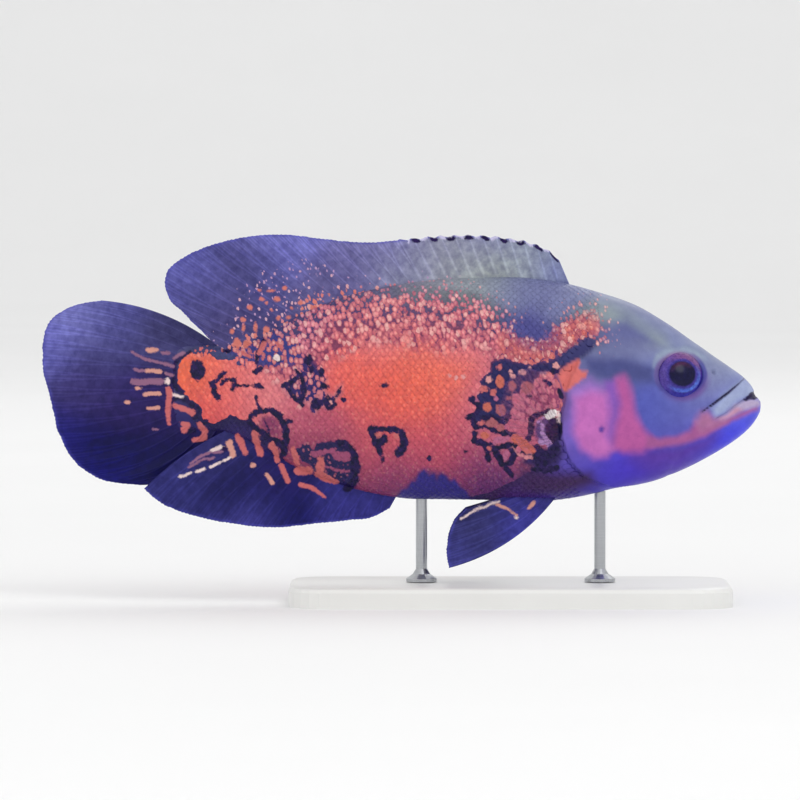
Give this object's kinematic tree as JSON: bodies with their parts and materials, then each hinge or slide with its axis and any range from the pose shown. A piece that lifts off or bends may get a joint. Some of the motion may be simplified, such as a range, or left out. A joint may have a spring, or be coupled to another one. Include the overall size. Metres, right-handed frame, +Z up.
{
  "type": "oscar fish model on a display stand",
  "caption": "Still, life-size oscar fish with orange and navy markings, swimming pose with tail bent slightly aside, held by slim rods on a plain flat base.",
  "frame": {"origin": "centre of the base's underside, on the floor", "axes": "+X the way the fish looks, along its length; +Z up; -Y the fish's right flank, which the picture shows"},
  "size_m": [0.281, 0.1078, 0.1438],
  "materials": {
    "head_skin": "satin wet skin, slate blue with mauve cheeks",
    "lip_skin": "smooth satin skin, grey blue",
    "jaw_skin": "smooth satin skin, mauve over bright blue",
    "eye": "clear, high gloss over a near-black pupil and maroon iris",
    "flank_skin": "satin scaled skin, orange with navy markings",
    "fin_membrane": "satin ribbed membrane, navy violet",
    "clear_fin": "thin translucent mauve membrane",
    "base_lacquer": "satin white lacquer on wood",
    "rod_steel": "brushed stainless steel"
  },
  "bodies": {
    "root": {"head": "head_skin", "upper_lip": "lip_skin", "lower_jaw": "jaw_skin", "gill_cover_right": "head_skin", "gill_cover_left": "head_skin", "eye_right": "eye", "eye_left": "eye", "trunk": "flank_skin", "tail_stem": "flank_skin", "dorsal_fin_spiny": "fin_membrane", "dorsal_fin_soft": "fin_membrane", "anal_fin": "fin_membrane", "caudal_fin": "fin_membrane", "pectoral_fin_right": "clear_fin", "pectoral_fin_left": "clear_fin", "pelvic_fin_right": "fin_membrane", "pelvic_fin_left": "fin_membrane", "stand_base": "base_lacquer", "stand_rod_front": "rod_steel", "stand_rod_rear": "rod_steel"}
  },
  "joints": []
}
